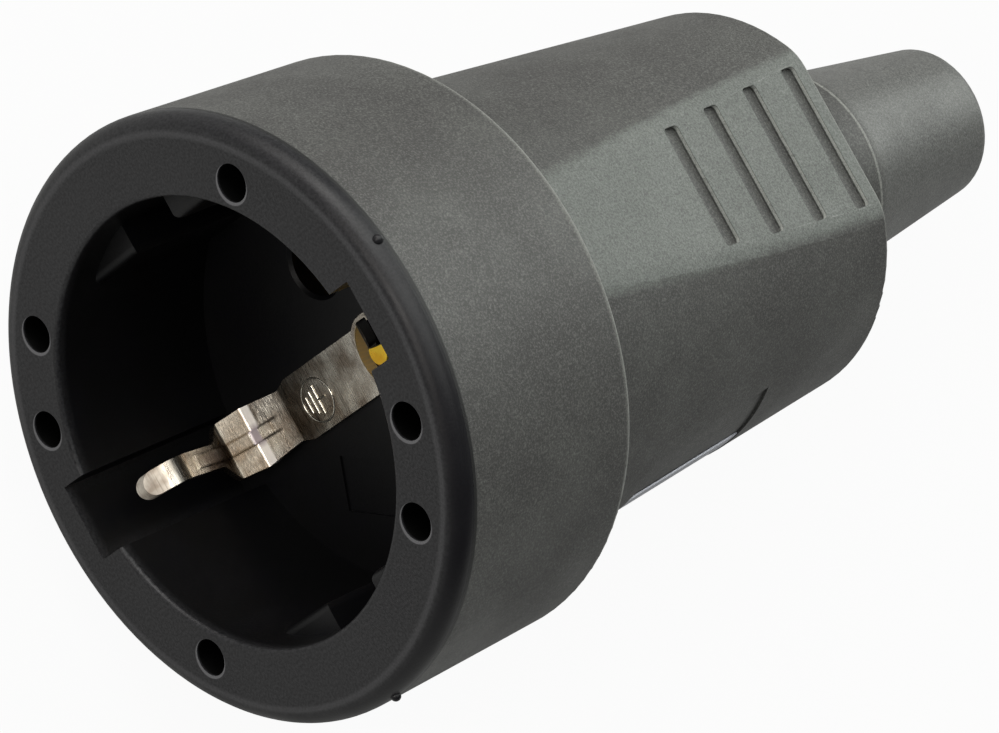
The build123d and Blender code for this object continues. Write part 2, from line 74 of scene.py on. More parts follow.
# %% [markdown]
# The picture was taken with a long lens from the front and above, and the camera was rolled. Its place, aim
# and upward direction are given in the socket's own axes, so they hold if the socket is laid another way.

# %% Camera
IMAGE_WIDTH = 999
FOCAL_PIXELS = 5500
SENSOR_MM = 36
camera_place = place(-289.75, -48.34, 343.44)
camera_aim = place(15.89, -6.83, 15.78)
camera_up = to_row.to_3x3() @ Vector((0.2961, 0.8733, 0.3868))

camera_data = bpy.data.cameras.new("photo_camera")
camera_data.sensor_width = SENSOR_MM
camera_data.lens = FOCAL_PIXELS / IMAGE_WIDTH * SENSOR_MM
camera = bpy.data.objects.new("photo_camera", camera_data)
bpy.context.scene.collection.objects.link(camera)
back = (camera_place - camera_aim).normalized()
right = camera_up.cross(back).normalized()
turn = Matrix((right, back.cross(right), back)).transposed().to_4x4()
camera.matrix_world = Matrix.Translation(camera_place) @ turn
bpy.context.scene.camera = camera
print("lens in mm:", round(camera_data.lens, 1))

# %% [markdown]
# Materials are trees of nodes, and one small function adds any node with its inputs. Colours are written as
# the hex values that a paint program shows, and turned to the linear values that a renderer works in. The
# kinds of node that come back most have short names.

# %% Adding a node
MATH = "ShaderNodeMath"
RANGE = "ShaderNodeMapRange"
NOISE = "ShaderNodeTexNoise"
VECTOR = "ShaderNodeCombineXYZ"
MIX_COLOUR_INPUTS = (6, 7)
MIX_COLOUR_OUTPUT = 2


def linear(hex_colour):
    """The linear RGBA of a colour written as sRGB hex."""
    parts = [int(hex_colour[start:start + 2], 16) / 255 for start in (1, 3, 5)]
    return [p / 12.92 if p <= 0.04045 else ((p + 0.055) / 1.055) ** 2.4 for p in parts] + [1.0]


def add(tree, kind, inputs=(), out=0, **settings):
    """Adds a node with inputs in order or by name, and returns one of its outputs.

    A socket is linked, a hex colour is turned to linear, and any other value is set as it is.
    """
    made = tree.nodes.new(kind)
    for name, value in settings.items():
        setattr(made, name, value)
    for name, value in inputs.items() if isinstance(inputs, dict) else enumerate(inputs):
        if isinstance(value, bpy.types.NodeSocket):
            tree.links.new(value, made.inputs[name])
        else:
            made.inputs[name].default_value = linear(value) if isinstance(value, str) else value
    return made.outputs[out] if len(made.outputs) else None


print("mid grey in linear light:", round(linear("#808080")[0], 3))

# %% [markdown]
# A material starts with a Principled shader and its output. Values that are the same all over are set on
# the shader's own sockets, and only what varies over the surface is linked. The hard pieces keep the packed
# model's own meshes, so a material is all that they get here.


# %% Starting a material and putting it on
def new_material(name, **values):
    """A material with only a Principled shader and an output. Returns the material and its shader."""
    material = bpy.data.materials.new(name)
    material.use_nodes = True
    tree = material.node_tree
    tree.nodes.clear()
    surface = add(tree, "ShaderNodeBsdfPrincipled")
    for socket, value in values.items():
        surface.node.inputs[socket.replace("_", " ")].default_value = value
    add(tree, "ShaderNodeOutputMaterial", {"Surface": surface})
    return material, surface.node


def feed(tree, shader, **sockets):
    """Links values to the shader's inputs by name."""
    for name, value in sockets.items():
        tree.links.new(value, shader.inputs[name.replace("_", " ")])


def dress(node_name, material):
    """Gives a CAD node this material. The node's mesh stays as it is."""
    for slot in nodes[node_name].material_slots:
        slot.link = "OBJECT"
        slot.material = material
    print(node_name, "wears", material.name)


# %% [markdown]
# A finish needs to know where on the socket it is. Object coordinates tell that, and here they are turned to
# the socket's own axes and to millimetres, so every size below is one that a ruler would give.


# %% Places on the socket
def socket_place(tree, stretch=(1, 1, 1)):
    """Object coordinates in millimetres along the socket's own axes, stretched along each of them."""
    coordinates = add(tree, "ShaderNodeTexCoord", out="Object")
    shift = from_row.translation / MM
    turned = add(
        tree, "ShaderNodeMapping",
        {"Vector": coordinates, "Location": shift, "Rotation": (0, -lean, 0), "Scale": (1 / MM,) * 3},
    )
    return add(tree, "ShaderNodeVectorMath", (turned, stretch), operation="MULTIPLY")


def axes(tree):
    """Place along the socket's axis, across it and up, and the distance from the axis, in millimetres."""
    x, across, up = add(tree, "ShaderNodeSeparateXYZ", (socket_place(tree),)).node.outputs
    across_squared = add(tree, MATH, (across, 2.0), operation="POWER")
    up_squared = add(tree, MATH, (up, 2.0), operation="POWER")
    squares = add(tree, MATH, (across_squared, up_squared), operation="ADD")
    return x, across, up, add(tree, MATH, (squares,), operation="SQRT")


# %% [markdown]
# A mask is a value from 0 to 1 that says where a coat of colour goes. A mask has one or more limits, each a
# value with the place where it gives 0 and the place where it gives 1, and all limits have to hold. A finish
# is then a ground colour with coats painted over it in turn, as a painter would lay them.


# %% Masks and coats
def band(value, low, high, soft):
    """Two limits: 1 between low and high, and softly 0 outside them."""
    return (value, low - soft, low), (value, high + soft, high)


def where(tree, *limits):
    """A mask that is 1 where each limit holds. A limit is a value, its place for 0 and its place for 1."""
    mask = None
    for value, none_at, full_at in limits:
        step = add(tree, RANGE, (value, none_at, full_at, 0, 1))
        mask = step if mask is None else add(tree, MATH, (mask, step), operation="MULTIPLY")
    return mask


def painted(tree, tone, *coats):
    """Lays coats over a colour in turn. Each coat is a mask, how much it covers, and its colour."""
    under, over = MIX_COLOUR_INPUTS
    for mask, cover, colour in coats:
        share = add(tree, MATH, (mask, cover), operation="MULTIPLY")
        inputs = {0: share, under: tone, over: colour}
        tone = add(tree, "ShaderNodeMix", inputs, out=MIX_COLOUR_OUTPUT, data_type="RGBA")
    return tone


# %% [markdown]
# The body is thermoset rubber out of a sand-blasted mould. That gives a matt charcoal with a fine grain, and
# faint grey clouds several millimetres wide where filler and mould release sit on the skin. Hands rub it:
# the grip flats are paler and greener. Their grooves stay dark, with a faint painted light on the floor,
# and the walls get a pale painted highlight.
# All of this could be painted by hand on an unwrapped mesh, but the socket is so regular that its height
# and its distance from the axis find each place, and the finish then fits any mesh of it.

# %% Where hands rub the grip, with painted light in its grooves
COLLAR_END_MM = 22.0
BARREL_END_MM = 65.3
BARREL_SOFT_MM = 0.3
FLAT_HEIGHTS_MM = (21.15, 16.3)
FLAT_BAND_MM = (-0.2, 0.1, 0.3)
FLAT_RAGGED_MM = 0.3
GROOVE_FLOOR_MM = (-0.75, -0.38, 0.1)
GROOVE_WALL_MM = (-0.36, -0.06, 0.02)
GROOVE_SPAN_MM = (43.95, 62.46)
GROOVE_HALVES_MM = (5.72, 6.99)
GROOVE_END_MM = (0.15, 0.05)
GROOVE_ROWS_MM = (42.85, 63.56, 0.1)


def flat_masks(tree, x, across, up, breakup):
    """Three masks: the grip flats with a soft ragged border, the floors of their grooves, and the walls."""
    plane = add(tree, RANGE, (x, COLLAR_END_MM, BARREL_END_MM, *FLAT_HEIGHTS_MM))
    off_middle = add(tree, MATH, (up,), operation="ABSOLUTE")
    height = add(tree, MATH, (off_middle, plane), operation="SUBTRACT")
    lowered = add(tree, MATH, (height, FLAT_RAGGED_MM / 2), operation="SUBTRACT")
    ragged = add(tree, MATH, (breakup, FLAT_RAGGED_MM, lowered), operation="MULTIPLY_ADD")
    groove_half = add(tree, RANGE, (x, *GROOVE_SPAN_MM, *GROOVE_HALVES_MM))
    aside = add(tree, MATH, (across,), operation="ABSOLUTE")
    past_end = add(tree, MATH, (aside, groove_half), operation="SUBTRACT")
    among_grooves = ((past_end, *GROOVE_END_MM), *band(x, *GROOVE_ROWS_MM))
    on_barrel = band(x, COLLAR_END_MM, BARREL_END_MM, BARREL_SOFT_MM)
    return (
        where(tree, *band(ragged, *FLAT_BAND_MM), *on_barrel),
        where(tree, *band(height, *GROOVE_FLOOR_MM), *among_grooves),
        where(tree, *band(height, *GROOVE_WALL_MM), *among_grooves),
    )


# %% [markdown]
# The collar's rear edge, the barrel's end and the boss's end each get a thin pale line as a painted
# highlight.
# The collar's rear edge turns from its side to its back face, so its line lies where the way past the edge is
# the same along the axis and away from it. The barrel and the boss end in flat rings, so their lines are
# bands along the axis, close to the rim.

# %% Painted highlights on the edges
COLLAR_EDGE_MM = (21.1, 24.86)
COLLAR_LINE_MM = (1.1, 0.2)
COLLAR_BACK_MM = (-0.3, 0.3)
BARREL_LINE_MM = (64.95, 65.15, 0.15)
BARREL_RIM_MM = (14.0, 15.0)
BOSS_LINE_MM = (74.28, 74.5, 0.1)
BOSS_RIM_MM = (9.6, 10.0)


def edge_masks(tree, x, radius):
    """Three masks for painted highlights: thin lines on the collar's rear edge, on the barrel's end and on
    the boss's end.
    """
    past_x = add(tree, MATH, (x, COLLAR_EDGE_MM[0]), operation="SUBTRACT")
    past_radius = add(tree, MATH, (radius, COLLAR_EDGE_MM[1]), operation="SUBTRACT")
    difference = add(tree, MATH, (past_x, past_radius), operation="SUBTRACT")
    off_turn = add(tree, MATH, (difference,), operation="ABSOLUTE")
    return (
        where(tree, (off_turn, *COLLAR_LINE_MM), (past_x, *COLLAR_BACK_MM)),
        where(tree, *band(x, *BARREL_LINE_MM), (radius, *BARREL_RIM_MM)),
        where(tree, *band(x, *BOSS_LINE_MM), (radius, *BOSS_RIM_MM)),
    )


# %% [markdown]
# Coats then build the rubber from its skin up. The grain of a sand-blasted mould is near 0.1 mm, which a
# picture this size can't hold, so it is drawn at 0.19 mm. The cable sleeve is handled most, so it is
# smoother, and it is painted paler as a painted sheen. The rubber is dark at the front, where it meets the
# hard insert in a narrow joint.

# %% Moulded rubber
RUBBER_GRAIN_MM = 0.19
RUBBER_MOTTLE_MM = 1.1
RUBBER_CLOUD_MM = 9.0
RUBBER_BUMP_MM = 0.04
SLEEVE_START_MM = (75.0, 76.0)
JOINT_MM = (2.37, 2.23)
EDGE_HIGHLIGHT = "#9c9d97"


def moulded_rubber():
    material, shader = new_material("moulded_rubber", IOR=1.5)
    tree = material.node_tree
    here = socket_place(tree)
    x, across, up, radius = axes(tree)
    cloud = add(tree, NOISE, {"Vector": here, "Scale": 1 / RUBBER_CLOUD_MM, "Detail": 4, "Roughness": 0.6})
    mottle = add(tree, NOISE, {"Vector": here, "Scale": 1 / RUBBER_MOTTLE_MM, "Detail": 3, "Roughness": 0.6})
    grain = add(tree, NOISE, {"Vector": here, "Scale": 1 / RUBBER_GRAIN_MM, "Detail": 3, "Roughness": 0.7})
    on_flat, on_floor, on_wall = flat_masks(tree, x, across, up, mottle)
    on_collar_edge, on_barrel_edge, on_boss_edge = edge_masks(tree, x, radius)
    on_sleeve = where(tree, (x, *SLEEVE_START_MM))
    tone = painted(
        tree, "#393837",
        (where(tree, (cloud, 0.35, 0.68)), 1.0, "#454543"),
        # Painted sheen: the sleeve is painted paler.
        (on_sleeve, 0.4, "#6a6b69"),
        (on_flat, 0.8, "#5f635f"),
        # Painted light: a faint lighter coat on the groove floors and a pale painted highlight on the groove
        # walls.
        (on_floor, 0.1, "#575a56"),
        (on_wall, 0.8, "#a9aca7"),
        # Painted highlights: thin pale lines on the collar's rear edge, the barrel's end and the boss's end.
        (on_collar_edge, 0.6, EDGE_HIGHLIGHT),
        (on_barrel_edge, 0.36, EDGE_HIGHLIGHT),
        (on_boss_edge, 0.48, EDGE_HIGHLIGHT),
        (where(tree, (mottle, 0.6, 0.3)), 0.16, "#20201f"),
        (where(tree, (grain, 0.52, 0.35)), 0.46, "#1c1c1b"),
        (where(tree, (grain, 0.5, 0.7)), 0.28, "#8b8d88"),
        (where(tree, (x, *JOINT_MM)), 1.0, "#030303"),
    )
    matt = add(tree, RANGE, (cloud, 0.3, 0.7, 0.62, 0.5))
    polish = add(tree, MATH, (on_sleeve, 0.14), operation="MULTIPLY")
    smoothed = add(tree, MATH, (matt, polish), operation="SUBTRACT")
    bump = add(tree, "ShaderNodeBump", {"Height": grain, "Distance": RUBBER_BUMP_MM * MM, "Strength": 0.8})
    feed(tree, shader, Base_Color=tone, Roughness=smoothed, Normal=bump)
    return material


dress("rubber_body", moulded_rubber())

# %% [markdown]
# The insert's ring has small moulding holes with a broken edge, which catches light on one side as a thin
# crescent. A slightly larger circle, moved aside, is painted round each hole as a painted highlight, and the
# hole leaves only its crescent; inside, the holes are painted black as painted shade. Where the ring rounds
# off towards the rubber, a thin painted highlight marks where the rounding starts, and painted shade darkens
# the rounding outside it, on one side more than the other.

# %% Marks on the insert's face
HOLE_CIRCLE_MM = 21.95
HOLE_ANGLES = (45, 135, 157.5, 225, 315, 337.5)
HOLE_EDGE_MM = (1.71, 1.65)
HOLE_DEPTH_MM = (0.08, 0.3)
CRESCENT_SHIFT_MM = (-0.1, -0.13)
CRESCENT_EDGE_MM = (1.8, 1.72)
FACE_DEPTH_MM = (0.06, 0.02)
CREST_MM = (24.67, 24.92, 0.3)
CREST_DEPTH_MM = (1.4, 1.0)
SKIRT_MM = (24.92, 25.62)
SKIRT_SHADE_SIDE_MM = (-6.0, 10.0)
SKIRT_SHADE_SHARES = (0.9, 0.35)


def hole_distance(tree, shift):
    """Distance from the axis of the nearest small hole in the face, with all holes shifted alike."""
    flattened = socket_place(tree, (0, 1, 1))
    nearest = None
    for angle in HOLE_ANGLES:
        hole_y = HOLE_CIRCLE_MM * sin(radians(angle)) + shift[0]
        hole_z = HOLE_CIRCLE_MM * cos(radians(angle)) + shift[1]
        ends = (flattened, (0, hole_y, hole_z))
        away = add(tree, "ShaderNodeVectorMath", ends, out="Value", operation="DISTANCE")
        nearest = away if nearest is None else add(tree, MATH, (nearest, away), operation="MINIMUM")
    return nearest


def face_marks(tree, tone, x, across, radius):
    """Painted highlights as crescents at the small holes and a line where the rounding starts, painted shade
    in the holes and on the skirt outside the line.
    """
    crescents = where(tree, (hole_distance(tree, CRESCENT_SHIFT_MM), *CRESCENT_EDGE_MM), (x, *FACE_DEPTH_MM))
    in_holes = where(tree, (hole_distance(tree, (0, 0)), *HOLE_EDGE_MM), (x, *HOLE_DEPTH_MM))
    crest = where(tree, *band(radius, *CREST_MM), (x, *CREST_DEPTH_MM))
    skirt = where(tree, (radius, *SKIRT_MM))
    skirt_shade_share = add(tree, RANGE, (across, *SKIRT_SHADE_SIDE_MM, *SKIRT_SHADE_SHARES))
    # The crescents and the crest are painted highlights; the holes and the skirt get painted shade.
    return painted(
        tree, tone,
        (crescents, 0.8, "#68686b"),
        (in_holes, 1.0, "#010101"),
        (crest, 0.13, "#77777a"),
        (skirt, skirt_shade_share, "#0c0b0f"),
    )


# %% [markdown]
# The insert is glass-filled polyamide, injection moulded and nearly black with a faint violet cast. Its ring
# gets a grainy charcoal coat, and the recess behind it keeps the near black tone as painted shade. The
# carrier and the clamp bar are the same plastic behind it: they get no ring coat, and their skin is a little
# paler and duller. So one function makes both materials.

# %% Moulded polyamide
PLASTIC_GRAIN_MM = 0.24
PLASTIC_BUMP_MM = 0.02
FLOW_MARK_MM = 6.0
MOUTH_DEPTH_MM = (0.15, 1.2)
MOUTH_RADIUS_MM = (22.4, 22.1)
RING_TONES = ("#161618", "#2b2b2d")


def moulded_polyamide(name, dark, light, gloss_low, gloss_high, ring=None):
    material, shader = new_material(name, IOR=1.53, Specular_IOR_Level=0.28)
    tree = material.node_tree
    here = socket_place(tree)
    flow = add(tree, NOISE, {"Vector": here, "Scale": 1 / FLOW_MARK_MM, "Detail": 3, "Roughness": 0.5})
    grain = add(tree, NOISE, {"Vector": here, "Scale": 1 / PLASTIC_GRAIN_MM, "Detail": 2, "Roughness": 0.6})
    tone = painted(tree, dark, (where(tree, (flow, 0.35, 0.7)), 1.0, light))
    if ring:
        x, across, _, radius = axes(tree)
        inside = where(tree, (x, *MOUTH_DEPTH_MM), (radius, *MOUTH_RADIUS_MM))
        ring_grain = where(tree, (grain, 0.35, 0.65))
        # The ring gets its grainy charcoal coat, and the recess is painted back to the near black tone as
        # painted shade.
        with_ring = painted(tree, ring[0], (ring_grain, 1.0, ring[1]), (inside, 1.0, tone))
        tone = face_marks(tree, with_ring, x, across, radius)
    gloss = add(tree, RANGE, (flow, 0.3, 0.7, gloss_high, gloss_low))
    bump = add(tree, "ShaderNodeBump", {"Height": grain, "Distance": PLASTIC_BUMP_MM * MM, "Strength": 0.6})
    feed(tree, shader, Base_Color=tone, Roughness=gloss, Normal=bump)
    return material


dress("socket_insert", moulded_polyamide("moulded_polyamide", "#030304", "#0a0a0d", 0.36, 0.48, RING_TONES))
carrier_plastic = moulded_polyamide("moulded_carrier", "#161617", "#1c1c1e", 0.45, 0.55)
for node_name in ("contact_carrier", "cord_clamp_bar"):
    dress(node_name, carrier_plastic)

# %% [markdown]
# On the earth strip, each spring's fold is painted bright as a painted highlight, paler away from the rib,
# and plugs polish each spring's tip. Painted shade lies along both sides of the raised rib and on the strap
# towards its ends, and the shoulder and a band behind the tip are painted darker. The upper tip and the
# tongue inside the eye are painted near black as painted shade, while the eye's cut wall is bright brass.
# Each mask says how far from the strip's middle and how deep behind the mating face its place is.

# %% Where the strip gets painted highlight and shade, or is dull
RIB_HALF_MM = 0.6
RIB_SIDE_MM = (0.2, 0.05)
RIB_REACH_MM = (12.6, 17.6, 0.4)
RIB_DEPTH_MM = (8.0, 9.5)
STRAP_SHADE_MM = (6.0, 10.5)
RAMP_START_MM = (12.3, 11.3)
FOLD_REACH_MM = (14.25, 14.85, 0.2)
FOLD_DEPTH_MM = (14.0, 14.5)
SHOULDER_REACH_MM = (14.9, 15.1)
SHOULDER_DEPTH_MM = (9.0, 10.5)
NECK_DEPTH_MM = (5.5, 6.5, 0.25)
NECK_REACH_MM = (12.5, 13.5)
TIP_DEPTH_MM = (5.4, 4.6)
TIP_REACH_MM = (13.0, 14.0)
TIP_END_DEPTH_MM = (4.4, 3.9)
LOWER_SIDE_MM = (-13.0, -14.0)
UPPER_TIP_REACH_MM = (14.5, 15.5)
UPPER_TIP_DEPTH_MM = (6.0, 5.0)
EYE_PLACE_MM = 2.9
EYE_HALVES_MM = (3.0, 2.1)
EYE_TONGUE = (1.0, 0.96)
EYE_WALL = (1.0, 1.03, 0.02)
EYE_FRONT_MM = (16.25, 16.4)


def strip_masks(tree, x, across, up):
    """Masks of the places on the strip that get a painted highlight, painted shade or a finish of their own,
    by name.
    """
    reach = add(tree, MATH, (up,), operation="ABSOLUTE")
    aside = add(tree, MATH, (across,), operation="ABSOLUTE")
    past_rib = add(tree, MATH, (aside, RIB_HALF_MM), operation="SUBTRACT")
    off_rib = add(tree, MATH, (past_rib,), operation="ABSOLUTE")
    off_eye = add(tree, MATH, (up, EYE_PLACE_MM), operation="SUBTRACT")
    squares = []
    for distance, half in ((across, EYE_HALVES_MM[0]), (off_eye, EYE_HALVES_MM[1])):
        share = add(tree, MATH, (distance, half), operation="DIVIDE")
        squares.append(add(tree, MATH, (share, 2.0), operation="POWER"))
    oval = add(tree, MATH, squares, operation="ADD")
    return {
        "rib": where(
            tree, (off_rib, *RIB_SIDE_MM), *band(reach, *RIB_REACH_MM), (x, *RIB_DEPTH_MM)
        ),
        "strap shade": where(tree, (reach, *STRAP_SHADE_MM), (reach, *RAMP_START_MM)),
        "shoulder": where(tree, (reach, *SHOULDER_REACH_MM), (x, *SHOULDER_DEPTH_MM)),
        "fold": where(tree, *band(reach, *FOLD_REACH_MM), (x, *FOLD_DEPTH_MM)),
        "fold side": where(tree, (aside, RIB_HALF_MM, 2 * RIB_HALF_MM)),
        "tongue": where(tree, (oval, *EYE_TONGUE)),
        "neck": where(tree, *band(x, *NECK_DEPTH_MM), (reach, *NECK_REACH_MM)),
        "upper tip": where(tree, (up, *UPPER_TIP_REACH_MM), (x, *UPPER_TIP_DEPTH_MM)),
        "eye wall": where(tree, *band(oval, *EYE_WALL), (x, *EYE_FRONT_MM)),
        "tip": where(tree, (x, *TIP_DEPTH_MM), (reach, *TIP_REACH_MM)),
        "lower tip end": where(tree, (x, *TIP_END_DEPTH_MM), (up, *LOWER_SIDE_MM)),
    }


# %% [markdown]
# The strip is brass sheet with a bright nickel plate. It was brushed across its length before plating, so
# fine lines run along Y, and the press tool has left coarser scratches and brownish dull patches between
# them. Plated metal shows mostly what it reflects, so its colour stays near a warm silver and the roughness
# carries the marks. Only the eye's wall and the lower tip's end are less than fully metallic, because bare
# brass and wear scatter light there.

# %% Nickel-plated strip
BRUSH_WIDTH_MM = 0.09
BRUSH_LENGTH_MM = 2.4
BRUSH_BUMP_MM = 0.02
SCRATCH_WIDTH_MM = 0.22
PATCH_MM = 2.2


def plated_strip():
    material, shader = new_material("nickel_plated_strip")
    tree = material.node_tree
    x, across, up, _ = axes(tree)
    spots = strip_masks(tree, x, across, up)
    lines = socket_place(tree, (1, BRUSH_WIDTH_MM / BRUSH_LENGTH_MM, 1))
    here = socket_place(tree)
    brushed = add(tree, NOISE, {"Vector": lines, "Scale": 1 / BRUSH_WIDTH_MM, "Detail": 3, "Roughness": 0.7})
    scored = add(tree, NOISE, {"Vector": lines, "Scale": 1 / SCRATCH_WIDTH_MM, "Detail": 2, "Roughness": 0.8})
    patches = add(tree, NOISE, {"Vector": here, "Scale": 1 / PATCH_MM, "Detail": 3, "Roughness": 0.5})
    tone = painted(
        tree, "#ded8cc",
        (where(tree, (patches, 0.35, 0.62)), 1.0, "#978b7e"),
        (where(tree, (scored, 0.45, 0.3)), 0.55, "#55493b"),
        # Painted shade along the rib's sides and on the strap towards its ends; the shoulder is painted
        # darker.
        (spots["rib"], 0.85, "#1d1712"),
        (spots["strap shade"], 0.65, "#3a3026"),
        (spots["shoulder"], 0.7, "#5b4d3c"),
        # Painted highlight on each fold, paler away from the rib.
        (spots["fold"], 0.9, painted(tree, "#b0a4aa", (spots["fold side"], 1.0, "#fffaf4"))),
        # The tongue and the upper tip are painted near black as painted shade; a band behind the tip is
        # darker.
        (spots["tongue"], 1.0, "#0a0908"),
        (spots["neck"], 0.75, "#1d1815"),
        (spots["upper tip"], 1.0, "#0b0a09"),
        (spots["eye wall"], 1.0, "#ffe3a0"),
    )
    gloss = add(tree, RANGE, (brushed, 0.3, 0.7, 0.14, 0.4))
    for name, roughness in (("tip", 0.5), ("fold", 0.5), ("eye wall", 0.6)):
        dull = add(tree, MATH, (spots[name], roughness), operation="MULTIPLY")
        gloss = add(tree, MATH, (gloss, dull), operation="MAXIMUM")
    bare_wall = add(tree, RANGE, (spots["eye wall"], 0, 1, 1, 0.3))
    worn_end = add(tree, MATH, (spots["lower tip end"], 0.6), operation="MULTIPLY")
    metal = add(tree, MATH, (bare_wall, worn_end), operation="SUBTRACT")
    bump = add(tree, "ShaderNodeBump", {"Height": brushed, "Distance": BRUSH_BUMP_MM * MM, "Strength": 0.7})
    feed(tree, shader, Base_Color=tone, Roughness=gloss, Metallic=metal, Normal=bump)
    return material


dress("earth_bracket", plated_strip())

# %% [markdown]
# Post, contacts and terminals are bare free-cutting brass off a lathe or mill: a strong yellow with soft
# turning marks. Screws, rings and nuts are zinc-plated steel, a cooler and duller grey. Turning marks run
# round the axis, so their pattern is stretched across it, and stains are blobs that run no way at all.

# %% Brass and zinc
STAIN_MM = 1.6
TURNING_BUMP_MM = 0.01
BRASS_NODES = ("earth_post", "earth_terminal", "line_contact_left", "line_contact_right",
               "line_terminal_left", "line_terminal_right")
ZINC_NODES = ("contact_spring_left", "contact_spring_right", "terminal_screws", "carrier_screws",
              "cord_clamp_screws", "cord_clamp_nuts")


def bare_metal(name, clean, stained, gloss_low, gloss_high, mark_mm):
    material, shader = new_material(name, Metallic=1.0)
    tree = material.node_tree
    lines = socket_place(tree, (1, 0.1, 0.1))
    here = socket_place(tree)
    marks = add(tree, NOISE, {"Vector": lines, "Scale": 1 / mark_mm, "Detail": 2, "Roughness": 0.5})
    stains = add(tree, NOISE, {"Vector": here, "Scale": 1 / STAIN_MM, "Detail": 3, "Roughness": 0.5})
    tone = painted(tree, clean, (where(tree, (stains, 0.4, 0.7)), 1.0, stained))
    gloss = add(tree, RANGE, (marks, 0.3, 0.7, gloss_low, gloss_high))
    bump = add(tree, "ShaderNodeBump", {"Height": marks, "Distance": TURNING_BUMP_MM * MM, "Strength": 0.4})
    feed(tree, shader, Base_Color=tone, Roughness=gloss, Normal=bump)
    return material


brass = bare_metal("turned_brass", "#ffd84a", "#f2b232", 0.22, 0.42, mark_mm=0.12)
zinc = bare_metal("zinc_plated_steel", "#b4b6b8", "#95989b", 0.28, 0.45, mark_mm=0.15)
for node_name in BRASS_NODES:
    dress(node_name, brass)
for node_name in ZINC_NODES:
    dress(node_name, zinc)

# %% [markdown]
# The label is a strip of metallised polyester film in a shallow pad. It is plain: a cool satin grey with a
# barely visible roll direction, and from the front it shows only as a pale sliver.

# %% Label film
ROLL_LINE_MM = 0.3


def label_film():
    material, shader = new_material("metallised_film", Metallic=0.35, IOR=1.6)
    tree = material.node_tree
    lines = socket_place(tree, (0.1, 1, 1))
    rolled = add(tree, NOISE, {"Vector": lines, "Scale": 1 / ROLL_LINE_MM, "Detail": 2, "Roughness": 0.5})
    tone = painted(tree, "#9fa1aa", (rolled, 1.0, "#b4b5bd"))
    feed(tree, shader, Base_Color=tone, Roughness=add(tree, RANGE, (rolled, 0.3, 0.7, 0.42, 0.55)))
    return material


dress("rating_label", label_film())

# %% [markdown]
# A tool has pressed the sign for protective earth into the strip: a ring, a stem and three bars that get
# shorter. Bars repeat by a rule, so a node tree makes them: a line of points, one bar on each, and a length
# that falls with the point's index. Ring, bars and stem are curves swept with a small round profile, which
# lies half in the strip. The press throws up bright edges, so the lines stand 0.1 mm proud.

# %% The tree for the pressed sign
SIGN_INPUTS = {
    "Ring Radius": 1.95, "Line Radius": 0.095, "Bar Count": 3,
    "Bar Length": 2.65, "Bar Shrink": 0.22, "Bar Pitch": 0.68, "Stem Length": 1.0, "First Bar": 0.1,
}
PROFILE_SIDES = 8
RING_SIDES = 64


def sign_tree(material):
    tree = bpy.data.node_groups.new("pressed_sign", "GeometryNodeTree")
    for name, value in SIGN_INPUTS.items():
        kind = "NodeSocketInt" if isinstance(value, int) else "NodeSocketFloat"
        tree.interface.new_socket(name, in_out="INPUT", socket_type=kind)
    tree.interface.new_socket("Geometry", in_out="OUTPUT", socket_type="NodeSocketGeometry")
    given = add(tree, "NodeGroupInput").node.outputs

    half_bar = add(tree, MATH, (given["Bar Length"], 0.5), operation="MULTIPLY")
    minus_half_bar = add(tree, MATH, (half_bar, -1.0), operation="MULTIPLY")
    stem_end = add(tree, MATH, (given["First Bar"], given["Stem Length"]), operation="ADD")
    first_bar = add(tree, VECTOR, {"X": given["First Bar"]})
    lines = {
        "bar": (add(tree, VECTOR, {"Y": minus_half_bar}), add(tree, VECTOR, {"Y": half_bar})),
        "stem": (first_bar, add(tree, VECTOR, {"X": stem_end})),
    }
    curves = {name: add(tree, "GeometryNodeCurvePrimitiveLine", ends) for name, ends in lines.items()}
    circles = {"profile": (PROFILE_SIDES, given["Line Radius"]), "ring": (RING_SIDES, given["Ring Radius"])}
    for name, (sides, radius) in circles.items():
        inputs = {"Resolution": sides, "Radius": radius}
        curves[name] = add(tree, "GeometryNodeCurvePrimitiveCircle", inputs)
    swept = {}
    for name in ("bar", "stem", "ring"):
        inputs = {"Curve": curves[name], "Profile Curve": curves["profile"], "Fill Caps": True}
        swept[name] = add(tree, "GeometryNodeCurveToMesh", inputs)

    step = add(tree, VECTOR, {"X": add(tree, MATH, (given["Bar Pitch"], -1.0), operation="MULTIPLY")})
    inputs = {"Count": given["Bar Count"], "Start Location": first_bar, "Offset": step}
    points = add(tree, "GeometryNodeMeshLine", inputs)
    index = add(tree, "GeometryNodeInputIndex")
    shrunk = add(tree, MATH, (index, given["Bar Shrink"]), operation="MULTIPLY")
    shorter = add(tree, MATH, (1.0, shrunk), operation="SUBTRACT")
    scale = add(tree, VECTOR, (1.0, shorter, 1.0))
    inputs = {"Points": points, "Instance": swept["bar"], "Scale": scale}
    bars = add(tree, "GeometryNodeInstanceOnPoints", inputs)

    joined = add(tree, "GeometryNodeJoinGeometry")
    for part in (swept["stem"], bars, swept["ring"]):
        tree.links.new(part, joined.node.inputs[0])
    real = add(tree, "GeometryNodeRealizeInstances", (joined,))
    finished = add(tree, "GeometryNodeSetMaterial", {"Geometry": real, "Material": material})
    add(tree, "NodeGroupOutput", {"Geometry": finished})
    return tree


# %% [markdown]
# A node tree only shows its result. To keep it, the tree runs on an empty object, the mesh that it gives is
# copied, moved to its place and put in the scene, and the empty object goes away.


